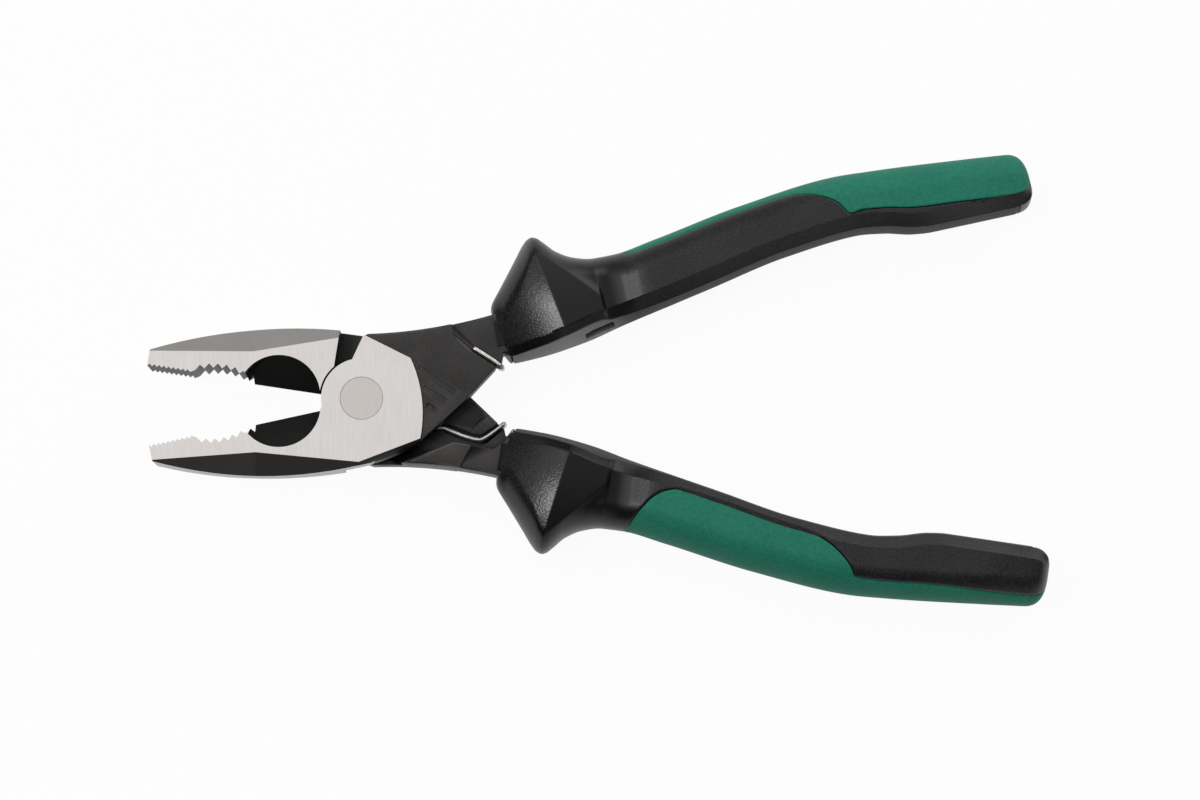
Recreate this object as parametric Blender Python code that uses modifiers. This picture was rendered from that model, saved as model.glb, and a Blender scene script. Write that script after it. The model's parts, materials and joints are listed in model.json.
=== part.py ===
"""Combination pliers with a lap joint, a wire return spring and two-colour moulded grips.

The two levers are one forging used twice: the rear lever is the front one turned half round the tool's
long axis, and so are the grips.  A lever is drawn closed, with the rivet at its origin, the jaw along -X
and the handle along +X; its cheek lies on the +Z side of the lap.  The tool rests open, as the spring
leaves it.  All sizes are in metres and +Z is up.
"""

from math import acos, atan2, ceil, cos, pi, radians, sin, sqrt

import bmesh
import bpy
import numpy as np
from mathutils import Matrix, Vector

# Whole tool
REST_OPENING = radians(21.0)
CLOSED_GAP = 0.0002
JOINT_THICKNESS = 0.0115
LAP_GAP = 0.0003
FIT_GAP = 0.0003

# Jaw: depths are measured from the line where the closed jaws meet
JAW_REACH = 0.0473
TIP_DEPTH = 0.0037
JAW_DEPTH = 0.0142
JAW_BACK_X = -0.003
FINE_PITCH = 0.0011
FINE_DEPTH = 0.0005
HOLLOW_X = -0.0310
HOLLOW_RADIUS = 0.0140
HOLLOW_DEPTH = 0.0018
COARSE_PITCH = 0.0020
COARSE_DEPTH = 0.0010
CUTTER_END_X = -0.0240
CUTTER_WALL = 0.0004
CUTTER_WALL_DEPTH = 0.0016
EDGE_FLAT = 0.0002
DISH_X = -0.0179
DISH_Y = 0.0023
DISH_RADIUS = 0.0091

# Ground bevel along the back of the jaw, in two runs that meet in a soft valley
BEVEL_ANGLE = radians(30.0)
BEVEL_TIP_DEPTH = 0.0034
BEVEL_BEND = (-0.0250, -0.0066)
BEVEL_HEEL = (-0.0035, -0.0135)
RIM_ANGLE = radians(50.0)
RIM_DEPTH = 0.0007

# Joint
RIVET_DIAMETER = 0.0092
RIVET_CLEARANCE = 0.0001
RIVET_CHAMFER = 0.0002
CHEEK_RADIUS = 0.0088
CHEEK_CLEARANCE = 0.0004
CHEEK_TOP = (0.0032, 0.0133)
CHEEK_TOP_FLAT = 0.0012
CHEEK_FLANK_X = -0.0002
JAW_SHOULDER_X = -0.0070
FACE_STEP = 0.0005
FACE_CORNER = (0.0123, 0.0063)
FACE_RADIUS = 0.0290
FACE_TOP_SHIFT = 0.0010
STOP_CLEARANCE = 0.0006
PAD_EDGE_Y = 0.0064

# Shank and tang
HEEL = (0.0104, -0.0121)
SHANK_BEND = (0.0234, -0.0043)
SHANK_WAIST = (0.0316, 0.0015)
SHANK_BACK = (0.0240, 0.0118)
SHANK_BACK_RADIUS = 0.107
NECK_START_X = 0.0320
NECK_END_X = 0.0370
NECK_LOW_Y = 0.0034
NECK_HIGH_Y = 0.0114
NECK_STEP = 0.00155
NECK_CORNER = (0.0226, 0.0094)
PAD_CORNERS = ((0.0235, 0.0112), (0.0255, 0.0062))
PAD_FOOT_X = 0.0260
TANG_WIDTH = 0.0062
TANG_THICKNESS = 0.0060
TANG_STOP = 0.0160
GROOVE_WIDTH = 0.0012
GROOVE_DEPTH = 0.0005
GROOVES = (
    ((0.0134, 0.0042), (0.0202, -0.0031)),
    ((0.0137, -0.0003), (0.0177, -0.0046)),
    ((0.0135, -0.0045), (0.0151, -0.0062)),
)
MOAT = ((0.0212, -0.0034), (0.0243, -0.0025), (0.0270, -0.0004), (0.0247, 0.0024))
MOAT_WIDTH = 0.0006
MOAT_DEPTH = 0.0006

# Return spring: one wire, looped round the rivet and hooked over both shanks
WIRE_DIAMETER = 0.0010
RIVET_TO_LOOP = 0.0017
SPRING_ROOM = 0.0004
HOOK_CLEARANCE = 0.0003
LEG_KNEE = (0.0183, 0.0031)
LEG_BENDS = ((0.0238, 0.0044), (0.0266, 0.0045), (0.0278, 0.0038), (0.0300, 0.0017))
HOOK_SETBACK = 0.0010
HOOK_ROUND = 0.0003
HOOK_NEAR = 0.90
HOOK_FAR = 1.15
HOOK_RUN = ((0.0263, 0.0055), (0.0300, 0.0018))

# Grip, drawn on the closed lever
GRIP_START_X = 0.0323
GRIP_END_X = 0.1536
GUARD_TIP = (0.0435, 0.0269)
GUARD_HALF = 0.0104
HANDLE_X = 0.0640
BOW_STOP = 0.0426
HANDLE_HALF = 0.0087
END_HALF = 0.0046
INNER_CORNER = 0.0030
OUTER_CORNER = 0.0060
CORE_HALF = 0.0054
CORE_CHAMFER = 0.0008
CORE_WALL = 0.0022
NECK_WALL = 0.0015
CORE_START_X = 0.0342
CORE_STOP = 0.0042
INLAY_START_X = 0.0612
SEAM_OVERLAP = 0.0001
SEAM_SLANT = 1.6
SEAM_STOP = 0.0020
STRIP_SLOT = (0.0535, 0.0054, 0.0012)
STRIP_SLOT_DEPTH = 0.0007

# Edges of the grip across the handle: the guard's places are measured from the rivet, the handle's as a
# share of the way to its bow, and later ones from the grip's end
BOW_X = GRIP_END_X - BOW_STOP
HANDLE_RUN = BOW_X - HANDLE_X
NECK_HALF = CORE_HALF + NECK_WALL
OUTER_EDGE = (
    (GRIP_START_X, 0.0134),
    (0.0336, 0.0163),
    (0.0365, 0.0200),
    (0.0402, 0.0244),
    GUARD_TIP,
    (0.0460, 0.0252),
    (0.0485, 0.0228),
    (0.0515, 0.0210),
    (0.0560, 0.0200),
    (0.0600, 0.0199),
    (HANDLE_X + 0.13 * HANDLE_RUN, 0.0209),
    (HANDLE_X + 0.55 * HANDLE_RUN, 0.0241),
    (BOW_X, 0.0260),
    (GRIP_END_X - 0.0336, 0.0255),
    (GRIP_END_X - 0.0136, 0.0237),
    (GRIP_END_X - 0.0056, 0.0227),
    (GRIP_END_X - 0.0020, 0.0212),
    (GRIP_END_X, 0.0182),
)
INNER_EDGE = (
    (GRIP_START_X, 0.0020),
    (0.0345, 0.0014),
    (0.0400, 0.0015),
    (0.0500, 0.0026),
    (0.0600, 0.0047),
    (HANDLE_X + 0.34 * HANDLE_RUN, 0.0085),
    (HANDLE_X + 0.72 * HANDLE_RUN, 0.0118),
    (GRIP_END_X - 0.0400, 0.0131),
    (GRIP_END_X - 0.0336, 0.0123),
    (GRIP_END_X - 0.0271, 0.0107),
    (GRIP_END_X - 0.0230, 0.0103),
    (GRIP_END_X - 0.0056, 0.0102),
    (GRIP_END_X - 0.0018, 0.0112),
    (GRIP_END_X, 0.0140),
)
HALF_THICKNESS = (
    (GRIP_START_X, 0.0072),
    (0.0445, GUARD_HALF),
    (0.0554, 0.0089),
    (0.0562, NECK_HALF),
    (0.0600, NECK_HALF),
    (HANDLE_X, HANDLE_HALF),
    (GRIP_END_X - 0.0150, HANDLE_HALF),
    (GRIP_END_X - 0.0040, 0.0076),
    (GRIP_END_X, END_HALF),
)
TANG_LINE = (
    (GRIP_START_X, 0.0071),
    (0.0600, 0.0106),
    (HANDLE_X + 0.34 * HANDLE_RUN, 0.0140),
    (HANDLE_X + 0.77 * HANDLE_RUN, 0.0172),
    (GRIP_END_X - 0.0416, 0.0180),
    (GRIP_END_X - 0.0286, 0.0167),
    (GRIP_END_X - 0.0160, 0.0154),
    (GRIP_END_X, 0.0150),
)
# Seam between the two colours: the share of the handle's width that lies inside it, on either face
FRONT_SEAM = (
    (INLAY_START_X + 0.0012, 0.985),
    (INLAY_START_X + 0.0038, 0.900),
    (HANDLE_X + 0.34 * HANDLE_RUN, 0.882),
    (BOW_X - 0.0140, 0.878),
    (BOW_X - 0.0070, 0.780),
    (BOW_X - 0.0020, 0.566),
    (BOW_X + 0.0015, 0.290),
    (BOW_X + 0.0046, 0.310),
    (GRIP_END_X - 0.0236, 0.385),
    (GRIP_END_X - 0.0036, 0.345),
    (GRIP_END_X + 0.0020, 0.340),
)
REAR_SEAM = (
    (INLAY_START_X, 0.985),
    (INLAY_START_X + 0.0024, 0.684),
    (INLAY_START_X + 0.0045, 0.467),
    (INLAY_START_X + 0.0074, 0.295),
    (INLAY_START_X + 0.0102, 0.216),
    (HANDLE_X + 0.47 * HANDLE_RUN, 0.184),
    (BOW_X - 0.0110, 0.190),
    (BOW_X - 0.0060, 0.294),
    (BOW_X - 0.0024, 0.437),
    (BOW_X + 0.0008, 0.745),
    (GRIP_END_X - 0.0236, 0.770),
    (GRIP_END_X - 0.0036, 0.830),
    (GRIP_END_X + 0.0020, 0.830),
)

# Drawing resolution
ARC_STEPS = 14
RIVET_SIDES = 64
STATION_STEP = 0.0085
SEAM_STEP = 0.0040
GUARD_STATIONS = (0.0330, 0.0345, 0.0365, 0.0402, 0.0460, 0.0485, 0.0520, 0.0554, 0.0562, 0.0600, 0.0620)
HEEL_STATIONS = (0.0336, 0.0271, 0.0230, 0.0136, 0.0080, 0.0045, 0.0022, 0.0009, 0.0)
INNER_ARC = 3
OUTER_ARC = 5
LOOP_POINTS = 24
RING_SIDES = 48
CUT_MARGIN = 0.0030
FAR = 0.0400

# Values that follow from the sizes above
HALF_JOINT = JOINT_THICKNESS / 2
PARTING_Y = -CLOSED_GAP / 2
LAP_Z = LAP_GAP / 2
SHANK_Z = HALF_JOINT - FACE_STEP
NECK_Z = HALF_JOINT - NECK_STEP
WIRE_RADIUS = WIRE_DIAMETER / 2
LOOP_RADIUS = RIVET_DIAMETER / 2 + RIVET_TO_LOOP
LEG_Z = WIRE_RADIUS + HOOK_CLEARANCE
TANG_END_X = GRIP_END_X - TANG_STOP
CORE_END_X = GRIP_END_X - CORE_STOP
SPRING_FLOOR_Z = LEG_Z + WIRE_RADIUS + HOOK_CLEARANCE

STEEL = ("black_steel", (0.050, 0.047, 0.045, 1.0), 0.45, 0.8)
BRIGHT = ("bright_steel", (0.62, 0.60, 0.58, 1.0), 0.30, 1.0)
HARD = ("grip_core_plastic", (0.105, 0.105, 0.110, 1.0), 0.40, 0.0)
BLACK = ("grip_black_rubber", (0.022, 0.022, 0.023, 1.0), 0.60, 0.0)
GREEN = ("grip_green_rubber", (0.010, 0.150, 0.090, 1.0), 0.50, 0.0)


def clear_scene():
    for old in list(bpy.data.objects):
        bpy.data.objects.remove(old)


def new_collection(name, shown):
    collection = bpy.data.collections.new(name)
    collection.hide_render = not shown
    bpy.context.scene.collection.children.link(collection)
    return collection


def new_material(name, colour, roughness, metallic):
    material = bpy.data.materials.new(name)
    material.use_nodes = True
    material.diffuse_color = colour
    shader = material.node_tree.nodes["Principled BSDF"]
    shader.inputs["Base Color"].default_value = colour
    shader.inputs["Roughness"].default_value = roughness
    shader.inputs["Metallic"].default_value = metallic
    return material


def add_object(name, mesh, collection, parent=None):
    obj = bpy.data.objects.new(name, mesh)
    collection.objects.link(obj)
    obj.parent = parent
    if collection is cutters:
        obj.hide_render = True
        obj.display_type = "WIRE"
    return obj


def evaluated_mesh(obj):
    """A new mesh of the object with its modifiers applied and its loose seams welded."""
    bpy.context.view_layer.update()
    graph = bpy.context.evaluated_depsgraph_get()
    mesh = bpy.data.meshes.new_from_object(obj.evaluated_get(graph))
    shape = bmesh.new()
    shape.from_mesh(mesh)
    bmesh.ops.remove_doubles(shape, verts=shape.verts, dist=1e-7)
    bmesh.ops.recalc_face_normals(shape, faces=shape.faces)
    shape.to_mesh(mesh)
    shape.free()
    return mesh


def plate(name, outlines, low, high):
    """A flat outline, or an outline with inner ones as holes, extruded from z = low to z = high."""
    curve = bpy.data.curves.new(name, "CURVE")
    curve.dimensions = "2D"
    curve.fill_mode = "BOTH"
    curve.extrude = (high - low) / 2
    for outline in outlines:
        spline = curve.splines.new("POLY")
        spline.points.add(len(outline) - 1)
        for point, (x, y) in zip(spline.points, outline):
            point.co = (x, y, 0.0, 1.0)
        spline.use_cyclic_u = True
    drawn = bpy.data.objects.new(name, curve)
    cutters.objects.link(drawn)
    mesh = evaluated_mesh(drawn)
    bpy.data.objects.remove(drawn)
    mesh.transform(Matrix.Translation((0.0, 0.0, (low + high) / 2)))
    return add_object(name, mesh, cutters)


def drum_mesh(name, radius, low, high, centre=(0.0, 0.0)):
    shape = bmesh.new()
    place = Matrix.Translation((centre[0], centre[1], (low + high) / 2))
    bmesh.ops.create_cone(
        shape,
        cap_ends=True,
        segments=RIVET_SIDES,
        radius1=radius,
        radius2=radius,
        depth=high - low,
        matrix=place,
    )
    mesh = bpy.data.meshes.new(name)
    shape.to_mesh(mesh)
    shape.free()
    return mesh


def drum(name, *sizes):
    return add_object(name, drum_mesh(name, *sizes), cutters)


def half_space(name, point, normal, size=4 * FAR):
    """A large block that fills the side of a plane that its normal points to."""
    shape = bmesh.new()
    turn = Vector(normal).to_track_quat("Z", "Y").to_matrix().to_4x4()
    place = Matrix.Translation(Vector(point) + Vector(normal).normalized() * size / 2)
    bmesh.ops.create_cube(shape, size=size, matrix=place @ turn)
    mesh = bpy.data.meshes.new(name)
    shape.to_mesh(mesh)
    shape.free()
    return add_object(name, mesh, cutters)


def combine(target, other, operation):
    modifier = target.modifiers.new(other.name, "BOOLEAN")
    modifier.operation = operation
    modifier.solver = "EXACT"
    modifier.object = other
    return target


def turned_over(cutter):
    """The same cutter on the other face of a lever."""
    mesh = evaluated_mesh(cutter)
    mesh.transform(Matrix.Scale(-1.0, 4, (0.0, 0.0, 1.0)))
    mesh.flip_normals()
    return add_object(cutter.name + "_below", mesh, cutters)


def arc(centre, radius, start, end, steps=ARC_STEPS):
    angles = [start + (end - start) * i / steps for i in range(steps + 1)]
    return [(centre[0] + radius * cos(a), centre[1] + radius * sin(a)) for a in angles]


def level_arc(far, level, steps=ARC_STEPS):
    """Arc from far to level that runs parallel to X where it ends."""
    dx = far[0] - level[0]
    dy = far[1] - level[1]
    radius = (dx * dx + dy * dy) / (2 * dy)
    swing = atan2(dx, radius - dy)
    points = [swing * (1 - i / steps) for i in range(steps + 1)]
    return [(level[0] + radius * sin(a), level[1] + radius * (1 - cos(a))) for a in points]


def through(points):
    """A smooth curve y(x) through points, with no overshoot between them (monotone cubic)."""
    xs, ys = np.array(points).T
    step = np.diff(xs)
    slope = np.diff(ys) / step
    tangent = np.zeros(len(xs))
    tangent[0] = slope[0]
    tangent[-1] = slope[-1]
    for i in range(1, len(xs) - 1):
        before = slope[i - 1]
        after = slope[i]
        if before * after > 0:
            near = 2 * step[i] + step[i - 1]
            far = step[i] + 2 * step[i - 1]
            tangent[i] = (near + far) / (near / before + far / after)

    def curve(x):
        i = min(max(int(np.searchsorted(xs, x)) - 1, 0), len(step) - 1)
        t = min(max((x - xs[i]) / step[i], 0.0), 1.0)
        level = ys[i] * (1 + 2 * t) * (1 - t) ** 2 + ys[i + 1] * t * t * (3 - 2 * t)
        lean = tangent[i] * t * (1 - t) ** 2 - tangent[i + 1] * t * t * (1 - t)
        return float(level + step[i] * lean)

    return curve


outer_edge = through(OUTER_EDGE)
inner_edge = through(INNER_EDGE)
half_thickness = through(HALF_THICKNESS)
tang_line = through(TANG_LINE)


# Lever
def tooth_row():
    """The jaw's working edge from the throat to the tip: cutting edge, pipe grip and fine teeth."""
    edge = [(CUTTER_END_X, PARTING_Y)]
    low_x = CUTTER_END_X - CUTTER_WALL
    edge.append((low_x, PARTING_Y - CUTTER_WALL_DEPTH))
    half_chord = sqrt(2 * HOLLOW_RADIUS * HOLLOW_DEPTH - HOLLOW_DEPTH**2)
    end_x = HOLLOW_X - half_chord
    count = max(1, round((low_x - end_x) / COARSE_PITCH))
    pitch = (low_x - end_x) / count
    for i in range(count):
        for share, sink in ((0.45, 0.0), (1.0, COARSE_DEPTH)):
            x = low_x - (i + share) * pitch
            rise = HOLLOW_RADIUS - sqrt(HOLLOW_RADIUS**2 - (x - HOLLOW_X) ** 2)
            last = i == count - 1 and share == 1.0
            edge.append((x, PARTING_Y if last else PARTING_Y - HOLLOW_DEPTH + rise - sink))
    count = max(1, round((JAW_REACH + end_x) / FINE_PITCH))
    pitch = (JAW_REACH + end_x) / count
    for i in range(count):
        edge.append((end_x - (i + 0.5) * pitch, PARTING_Y - FINE_DEPTH))
        edge.append((end_x - (i + 1) * pitch, PARTING_Y))
    return edge


def lever_outline():
    back = level_arc((-JAW_REACH, -TIP_DEPTH), (JAW_BACK_X, -JAW_DEPTH))
    belly = level_arc(HEEL, (JAW_BACK_X, -JAW_DEPTH))[::-1]
    inner = [SHANK_BEND, SHANK_WAIST, (NECK_START_X + FIT_GAP, NECK_LOW_Y), (NECK_END_X, NECK_LOW_Y)]
    top = [(NECK_END_X, NECK_HIGH_Y)]
    centre = (SHANK_BACK[0], SHANK_BACK[1] + SHANK_BACK_RADIUS)
    first, last = (
        -acos((x - centre[0]) / SHANK_BACK_RADIUS) for x in (NECK_START_X, CHEEK_TOP[0] + CHEEK_TOP_FLAT)
    )
    shank_back = arc(centre, SHANK_BACK_RADIUS, first, last)
    cheek = arc((0.0, 0.0), CHEEK_RADIUS, acos(CHEEK_FLANK_X / CHEEK_RADIUS), pi)
    throat = [(-CHEEK_RADIUS, PARTING_Y)]
    return throat + tooth_row() + back + belly[1:] + inner + top + shank_back + [CHEEK_TOP] + cheek


def face_outline():
    """Everything right of the ground face's edge, which the forging leaves a step lower."""
    centre_x = FACE_CORNER[0] - sqrt(FACE_RADIUS**2 - FACE_CORNER[1] ** 2)
    start = atan2(FACE_CORNER[1], FACE_CORNER[0] - centre_x)
    end = atan2(HEEL[1] - CUT_MARGIN, HEEL[0] - centre_x)
    edge = arc((centre_x, 0.0), FACE_RADIUS, start, end)
    run_x = FACE_CORNER[0] - CHEEK_TOP[0]
    run_y = FACE_CORNER[1] - CHEEK_TOP[1]
    above = (CHEEK_TOP[0] + FACE_TOP_SHIFT - run_x, CHEEK_TOP[1] - run_y)
    return [above] + edge + [(4 * FAR, -FAR), (4 * FAR, FAR)]


def lap_outline():
    """Room on a lever's lap side for the other lever, from shut to fully open."""
    radius = CHEEK_RADIUS + CHEEK_CLEARANCE
    start = pi + acos(-JAW_SHOULDER_X / radius)
    hollow = arc((0.0, 0.0), radius, start, pi)
    run = Vector((SHANK_BEND[0] - HEEL[0], -SHANK_BEND[1] + HEEL[1]))
    away = Vector((-run.y, run.x)).normalized() * STOP_CLEARANCE
    on_stop = Vector((HEEL[0], -HEEL[1])) + away
    top_y = JAW_DEPTH + CUT_MARGIN
    high = on_stop + run * (top_y - on_stop.y) / run.y
    low = on_stop + run * (PAD_EDGE_Y - on_stop.y) / run.y
    hook_x = SHANK_WAIST[0] + WIRE_DIAMETER + HOOK_CLEARANCE
    outline = [(JAW_SHOULDER_X, -FAR)] + hollow + [(-radius, top_y), tuple(high), tuple(low)]
    return outline + [(hook_x - CUT_MARGIN, PAD_EDGE_Y), (hook_x, NECK_LOW_Y), (hook_x, -FAR)]


def ribbon(points, width):
    """Outline of a band of even width along a line of points."""
    left = []
    right = []
    for i, point in enumerate(points):
        before = Vector(points[max(i - 1, 0)])
        after = Vector(points[min(i + 1, len(points) - 1)])
        run = (after - before).normalized()
        side = Vector((-run.y, run.x)) * width / 2
        left.append(tuple(Vector(point) + side))
        right.append(tuple(Vector(point) - side))
    return left + right[::-1]


def bevel_cutter(name, runs):
    """What grinding takes off beyond a line on the face: its planes lean down and outwards."""
    blocks = []
    for i, (start, end, angle) in enumerate(runs):
        along = (Vector(end) - Vector(start)).normalized()
        outward = Vector((along.y, -along.x))
        normal = (outward.x * sin(angle), outward.y * sin(angle), cos(angle))
        blocks.append(half_space(f"{name}_{i}", (end[0], end[1], HALF_JOINT), normal))
    for other in blocks[1:]:
        combine(blocks[0], other, "INTERSECT")
    return blocks[0]


def dish_cutter():
    """The hollow that leaves the cutting edge standing: a round-ended slope from the edge to the face."""
    slope = (0.0, HALF_JOINT - EDGE_FLAT / 2, DISH_RADIUS - DISH_Y)
    dish = drum("dish", DISH_RADIUS, 0.0, HALF_JOINT + CUT_MARGIN, (DISH_X, DISH_Y))
    return combine(dish, half_space("dish_slope", (DISH_X, PARTING_Y, EDGE_FLAT / 2), slope), "INTERSECT")


def tang_outline(gap):
    """The tang's outline, wider by gap on all sides."""
    count = ceil((TANG_END_X - NECK_END_X) / STATION_STEP)
    start_x = NECK_END_X - CUT_MARGIN / 2
    xs = [start_x + (TANG_END_X + gap - start_x) * i / count for i in range(count + 1)]
    half = TANG_WIDTH / 2 + gap
    return [(x, tang_line(x) - half) for x in xs] + [(x, tang_line(x) + half) for x in reversed(xs)]


def neck_outline(gap):
    """The part of the shank inside the guard, wider by gap."""
    start_x = NECK_START_X - CUT_MARGIN
    end_x = NECK_END_X + gap
    low = NECK_LOW_Y - gap
    high = NECK_HIGH_Y + gap
    shoulder = SHANK_BACK[1] + CUT_MARGIN / 2
    return [
        (start_x, low - CUT_MARGIN / 2),
        (NECK_START_X, low),
        (end_x, low),
        (end_x, high),
        (NECK_START_X + CUT_MARGIN / 2, high + gap),
        (start_x, shoulder),
    ]


def leg_route():
    """The spring's leg on the front lever: where it leaves the loop, then its bends to its cut end."""
    knee = Vector(LEG_KNEE)
    start = atan2(knee.y, knee.x) + acos(LOOP_RADIUS / knee.length)
    run = (Vector(SHANK_WAIST) - Vector(SHANK_BEND)).normalized()
    out = Vector((run.y, -run.x)) * (WIRE_RADIUS + HOOK_CLEARANCE)
    edge = Vector(SHANK_WAIST) - run * HOOK_SETBACK
    near = edge + out * HOOK_NEAR
    far = edge + out * HOOK_FAR
    top_z = NECK_Z + WIRE_RADIUS + HOOK_CLEARANCE
    flat = [(LOOP_RADIUS * cos(start), LOOP_RADIUS * sin(start)), LEG_KNEE, *LEG_BENDS]
    hook = [
        (near.x, near.y, LEG_Z + HOOK_ROUND),
        (far.x, far.y, (LEG_Z + top_z) / 2),
        (near.x, near.y, top_z - HOOK_ROUND),
    ]
    end = [(x, y, top_z) for x, y in reversed(HOOK_RUN)]
    return start, [Vector((x, y, LEG_Z)) for x, y in flat] + [Vector(p) for p in hook + end]


def neck_line():
    """Everything right of the step that the spring's end lies against, on the lever's open face."""
    high, low = (Vector(p) for p in HOOK_RUN)
    along = (low - high).normalized()
    away = Vector((along.y, -along.x)) * (WIRE_RADIUS + HOOK_CLEARANCE)
    start = high + away
    end = low + away + along * CUT_MARGIN
    corner = [(NECK_CORNER[0], FAR), NECK_CORNER]
    return corner + [tuple(start), tuple(end), (4 * FAR, end.y), (4 * FAR, FAR)]


def lever_mesh():
    lever = plate("lever_blank", [lever_outline()], -HALF_JOINT, HALF_JOINT)
    combine(lever, plate("tang", [tang_outline(0.0)], -TANG_THICKNESS / 2, TANG_THICKNESS / 2), "UNION")
    step = plate("face_step", [face_outline()], SHANK_Z, HALF_JOINT + CUT_MARGIN)
    pad = [(PAD_CORNERS[0][0], FAR), *PAD_CORNERS, (PAD_FOOT_X, -FAR), (4 * FAR, -FAR), (4 * FAR, FAR)]
    tip = (-JAW_REACH, -BEVEL_TIP_DEPTH)
    bevel = bevel_cutter(
        "jaw_bevel", [(tip, BEVEL_BEND, BEVEL_ANGLE), (BEVEL_BEND, BEVEL_HEEL, BEVEL_ANGLE)]
    )
    rim_end = (HEEL[0], HEEL[1] + RIM_DEPTH)
    dish = dish_cutter()
    route = leg_route()[1]
    leg = [(p.x, p.y) for p in route[: len(LEG_BENDS) + 3]]
    room = WIRE_DIAMETER + 2 * SPRING_ROOM
    turn = 2 * pi * (RING_SIDES - 1) / RING_SIDES
    ring = [
        arc((0.0, 0.0), LOOP_RADIUS + side * room / 2, 0.0, turn, RING_SIDES - 1) for side in (1, -1)
    ]
    cuts = [
        step,
        turned_over(step),
        plate("neck_front", [neck_line()], NECK_Z, HALF_JOINT),
        plate("neck_rear", [pad], -HALF_JOINT - CUT_MARGIN, -NECK_Z),
        bevel,
        turned_over(bevel),
        bevel_cutter("cheek_rim", [(BEVEL_HEEL, rim_end, RIM_ANGLE)]),
        dish,
        turned_over(dish),
        plate("lap", [lap_outline()], -HALF_JOINT - CUT_MARGIN, LAP_Z),
        drum("rivet_hole", RIVET_DIAMETER / 2 + RIVET_CLEARANCE, -FAR, FAR),
        plate("loop_room", ring, -CUT_MARGIN, SPRING_FLOOR_Z),
        plate("leg_room", [ribbon(leg, room)], -CUT_MARGIN, SPRING_FLOOR_Z),
        plate("moat", [ribbon(MOAT, MOAT_WIDTH)], -CUT_MARGIN, LAP_Z + MOAT_DEPTH),
    ]
    for i, run in enumerate(GROOVES):
        line = ribbon(run, GROOVE_WIDTH)
        cuts.append(plate(f"groove_{i}", [line], SHANK_Z - GROOVE_DEPTH, SHANK_Z + CUT_MARGIN))
    for cut in cuts:
        combine(lever, cut, "DIFFERENCE")
    return evaluated_mesh(lever)


# Grip
def stations(start_x, end_x):
    """Places along the grip where its section is drawn: close together where the outline turns."""
    guard = sorted((GUARD_TIP[0], *GUARD_STATIONS))
    heel = [GRIP_END_X - d for d in HEEL_STATIONS]
    count = ceil((heel[0] - HANDLE_X) / STATION_STEP)
    handle = [HANDLE_X + (heel[0] - HANDLE_X) * i / count for i in range(count)]
    inside = [x for x in guard + handle + heel if start_x < x < end_x]
    return [start_x] + inside + [end_x]


def grip_section(x):
    """Closed loop of (y, z): flat inner side, soft inner corners and rounder outer ones."""
    low = inner_edge(x)
    high = outer_edge(x)
    top = half_thickness(x)
    inner = min(INNER_CORNER, 0.40 * (high - low), 0.45 * top)
    outer = min(OUTER_CORNER, 0.55 * (high - low), 0.80 * top)
    loop = []
    for i in range(INNER_ARC + 1):
        a = i / INNER_ARC * pi / 2
        loop.append((low + inner * (1 - cos(a)), top - inner * (1 - sin(a))))
    for i in range(OUTER_ARC + 1):
        a = i / OUTER_ARC * pi / 2
        loop.append((high - outer * (1 - sin(a)), top - outer * (1 - cos(a))))
    return loop + [(y, -z) for y, z in reversed(loop)]


def core_section(x):
    """Closed loop of (y, z) of the hard core, with its two edges on the inner side taken off."""
    low = inner_edge(x)
    high = tang_line(x) + TANG_WIDTH / 2 + CORE_WALL
    side = [(low, CORE_HALF - CORE_CHAMFER), (low + CORE_CHAMFER, CORE_HALF), (high, CORE_HALF)]
    return side + [(y, -z) for y, z in reversed(side)]


def core_room_section(x):
    """Closed loop of (y, z) of the room for the core, open to the inner side."""
    low = inner_edge(x) - CUT_MARGIN
    high = tang_line(x) + TANG_WIDTH / 2 + CORE_WALL + FIT_GAP
    half = CORE_HALF + FIT_GAP
    return [(low, half), (high, half), (high, -half), (low, -half)]


def loft(name, xs, section):
    """A closed skin over unlike sections, which stand square to X."""
    shape = bmesh.new()
    rings = [[shape.verts.new((x, y, z)) for y, z in section(x)] for x in xs]
    for near, far in zip(rings, rings[1:]):
        for i in range(len(near)):
            j = (i + 1) % len(near)
            shape.faces.new((near[i], near[j], far[j], far[i]))
    shape.faces.new(rings[0][::-1])
    shape.faces.new(rings[-1])
    bmesh.ops.recalc_face_normals(shape, faces=shape.faces)
    mesh = bpy.data.meshes.new(name)
    shape.to_mesh(mesh)
    shape.free()
    return add_object(name, mesh, cutters)


def inlay_outline(seam, gap, margin):
    """The side of a face that the green moulding covers, wider by gap and past the grip by margin."""
    start_x = seam[0][0]
    end_x = GRIP_END_X + margin
    count = ceil((end_x - start_x) / SEAM_STEP)
    even = {start_x + (end_x - start_x) * i / count for i in range(count + 1)}
    share = through(seam)
    line = []
    for x in sorted(even | {place for place, _ in seam[:-1]}):
        at = min(x, GRIP_END_X - SEAM_STOP)
        low = inner_edge(at)
        line.append((x, low + share(x) * (outer_edge(at) - low) - SEAM_SLANT * gap))
    line[0] = (start_x - gap, line[0][1])
    return line + [(end_x, FAR + margin), (start_x - gap, FAR + margin)]


def inlay_cutter(name, gap):
    """The green moulding's share of the grip: its two faces overlap a little at the grip's mid-plane."""
    reach = SEAM_OVERLAP + gap
    front = plate(name + "_front", [inlay_outline(FRONT_SEAM, gap, CUT_MARGIN)], -reach, FAR)
    rear = plate(name + "_rear", [inlay_outline(REAR_SEAM, gap, 2 * CUT_MARGIN)], -FAR, reach)
    return combine(front, rear, "UNION")


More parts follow.
